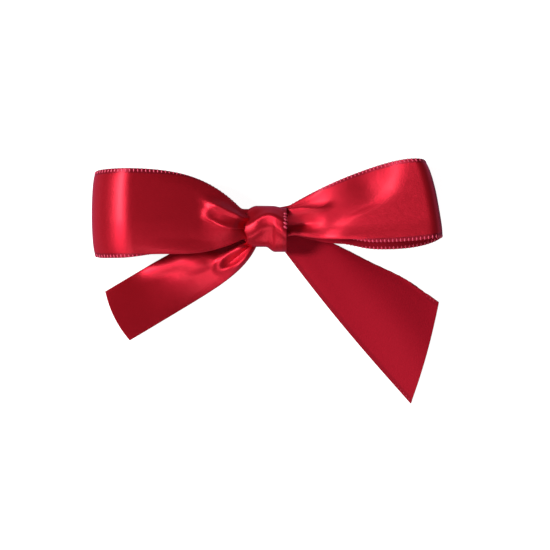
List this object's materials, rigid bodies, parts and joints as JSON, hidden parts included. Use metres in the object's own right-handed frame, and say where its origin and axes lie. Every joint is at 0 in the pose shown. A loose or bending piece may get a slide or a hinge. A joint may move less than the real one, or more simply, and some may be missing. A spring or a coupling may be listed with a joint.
{
  "type": "gift bow",
  "caption": "Hand-tied satin ribbon bow with open loops, a wrapped knot and loose cut tails, on a stick-on foam pad.",
  "frame": {"origin": "on the surface that the bow lies on, under the middle of its outline", "axes": "+Z out of the bow's front, +Y to the top of the bow, +X to the right as seen from the front"},
  "size_m": [0.0906, 0.0624, 0.0149],
  "materials": {
    "satin": "glossy polyester satin, warp face",
    "satin_back": "dull satin back with fine cross ribs",
    "foam": "fine closed-cell white foam",
    "adhesive": "clear tacky acrylic film",
    "liner": "silicone-coated release paper"
  },
  "bodies": {
    "knot": {"knot_wrap": "satin", "waist_gathers": "satin", "half_knot": "satin_back", "pad_adhesive_upper": "adhesive", "pad_foam": "foam", "pad_adhesive_lower": "adhesive"},
    "left_loop": {"loop_left": "satin"},
    "right_loop": {"loop_right": "satin"},
    "left_tail": {"tail_left": "satin"},
    "right_tail": {"tail_right": "satin_back"},
    "liner": {"release_liner": "liner"}
  },
  "joints": [
    {"name": "left_loop_lift", "type": "hinge", "parent": "knot", "child": "left_loop", "pos_m": [-0.006, 0.01342, 0.0094], "axis": [0, 1, 0], "range_deg": [0, 30], "stiffness_Nm_per_rad": 0.001},
    {"name": "right_loop_lift", "type": "hinge", "parent": "knot", "child": "right_loop", "pos_m": [0.0056, 0.01342, 0.0094], "axis": [0, -1, 0], "range_deg": [0, 30], "stiffness_Nm_per_rad": 0.001},
    {"name": "left_tail_swing", "type": "hinge", "parent": "knot", "child": "left_tail", "pos_m": [-0.003, 0.01177, 0.002], "axis": [0, 0, 1], "range_deg": [0, 25]},
    {"name": "right_tail_swing", "type": "hinge", "parent": "knot", "child": "right_tail", "pos_m": [0.0035, 0.01264, 0.002], "axis": [0, 0, 1], "range_deg": [-15, 10]},
    {"name": "liner_peel", "type": "hinge", "parent": "knot", "child": "liner", "pos_m": [0.00375, 0.01342, 0.0001], "axis": [0, -1, 0], "range_deg": [0, 150]}
  ]
}
